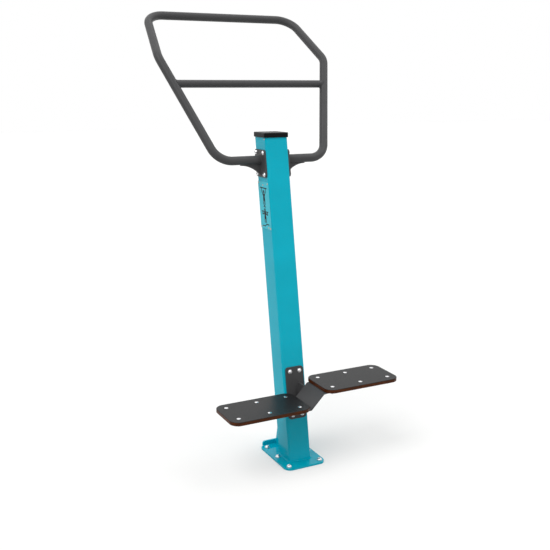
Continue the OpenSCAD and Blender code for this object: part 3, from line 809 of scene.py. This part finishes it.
def strip(start, end, width):
    """The outline of a strip with round ends, or of a dot, as flat points in mm."""
    a, b = Vector(start), Vector(end)
    way = b - a
    turn = atan2(way.y, way.x)
    # A dot's two half circles meet, so each leaves out its last point
    points = ROUND_STEPS + 1 if way.length else ROUND_STEPS
    outline = []
    for middle, first in ((b, turn - pi / 2), (a, turn + pi / 2)):
        for i in range(points):
            angle = first + i * pi / ROUND_STEPS
            outline.append(middle + Vector((cos(angle), sin(angle))) * width / 2)
    return outline


print("points round a strip:", len(strip((0, 0), (9, 0), 5)))
print("points round a dot:", len(strip((0, 0), (0, 0), 5)))

# %% [markdown]
# ## The information plate's picture
#
# The plate shows how the station is used: a figure that hangs from a bar, an arrow, the same
# figure with its chin over the bar, and the two steps. Both figures have the same limbs, and only
# their heights differ, so one function lists the marks of either.

# %% Figures, arrow and steps
# Widths of the marks, then places across from the middle, then lengths, all in mm
LINE, ARM, LEG, HEAD, TRUNK = 5, 6, 8, 16, 18
BAR_HALF, HANDS, SHOULDERS, HIPS, FEET = 34, 23, 8, 6, 7
NECK_DROP, HIP_DROP, LEG_DROP = 17, 36, 24


def figure(bar, head, elbow_x, elbow_z):
    """A bar, and a figure at it: a head, a body, two bent arms and two legs."""
    shoulder, hips = head - NECK_DROP, head - HIP_DROP
    marks = [
        ((-BAR_HALF, bar), (BAR_HALF, bar), LINE),
        ((0, head), (0, head), HEAD),
        ((0, shoulder), (0, hips), TRUNK)
    ]
    for side in (-1, 1):
        elbow = (side * elbow_x, elbow_z)
        marks += [
            ((side * HANDS, bar), elbow, ARM), (elbow, (side * SHOULDERS, shoulder), ARM),
            ((side * HIPS, hips), (side * FEET, hips - LEG_DROP), LEG)
        ]
    return marks


HANGING = figure(bar=198, head=180, elbow_x=19, elbow_z=180)
PULLED_UP = figure(bar=84, head=93, elbow_x=27, elbow_z=70)
ARROW = [((0, 114), (0, 107), LINE), ((-10, 106), (0, 115), LINE), ((10, 106), (0, 115), LINE)]
STEPS = [((34, 14), (6, 14), LINE), ((6, 14), (-6, 24), LINE), ((-6, 24), (-34, 24), LINE)]
PICTURE = HANGING + PULLED_UP + ARROW + STEPS
print("marks in the picture:", len(PICTURE))

# %% [markdown]
# ## Printing it
#
# Each mark is a thin layer of ink, cut as a flat face and extruded by a tenth of a millimetre.
# Screen ink dries to an even film, nearly matt, so its ripple is small and shallow, and the eye
# sees a dark mark without a highlight.

# %% Printed picture
INK_THICK = 0.1 * MM

picture = bmesh.new()
for start, end, width in PICTURE:
    outline = [picture.verts.new(plate_point(u, v)) for u, v in strip(start, end, width)]
    layer = picture.faces.new(outline)
    raised = bmesh.ops.extrude_face_region(picture, geom=[layer])["geom"]
    front = [v for v in raised if isinstance(v, bmesh.types.BMVert)]
    bmesh.ops.translate(picture, vec=(-INK_THICK, 0, 0), verts=front)
bmesh.ops.recalc_face_normals(picture, faces=picture.faces)
info_picture = new_object("info_picture", picture)
ink = powder_coat(
    "screen_print_ink_dark", "#15191b",
    roughness=0.4, specular=0.15, ripple_mm=0.6, ripple_depth=0.01
)
info_picture.data.materials.append(ink)
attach(info_picture, "root")
print("faces of the picture:", len(info_picture.data.polygons))

# %% [markdown]
# ## Small rivets
#
# The plate has two more rivets than its corners need, and one rivet under the cap keeps the cap
# on. Such a head is a low dome, so its profile is drawn once, from its top round to the middle of
# its foot, and spun round the rivet's axis.

# %% Small rivets
RIVET_RADIUS = 3.6 * MM
RIVET_HEIGHT = 1.3 * MM
DOME_STEPS = 6
SPIN_STEPS = 20
MERGE = 0.01 * MM
CAP_RIVET_Z = 1572 * MM
CAP_RIVET_FORWARD = 47 * MM
RIVETS = [
    plate_point(2.4, 211.7),
    plate_point(-28, 9.5),
    Vector((-POST_HALF, lean_y(CAP_RIVET_Z) - CAP_RIVET_FORWARD, CAP_RIVET_Z))
]

heads = bmesh.new()
for middle in RIVETS:
    profile = []
    for i in range(DOME_STEPS + 1):
        angle = i * pi / 2 / DOME_STEPS
        out = Vector((-RIVET_HEIGHT * cos(angle), 0, RIVET_RADIUS * sin(angle)))
        profile.append(heads.verts.new(middle + out))
    profile.append(heads.verts.new(middle))
    lines = [heads.edges.new(pair) for pair in zip(profile, profile[1:])]
    bmesh.ops.spin(
        heads, geom=profile + lines, cent=middle, axis=(1, 0, 0), angle=2 * pi,
        steps=SPIN_STEPS, use_merge=True
    )
bmesh.ops.remove_doubles(heads, verts=heads.verts, dist=MERGE)
bmesh.ops.recalc_face_normals(heads, faces=heads.faces)
for face in heads.faces:
    face.smooth = True
small_rivets = new_object("small_rivets", heads)
small_rivets.data.materials.append(copper)
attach(small_rivets, "root")
print("small rivets:", len(RIVETS))
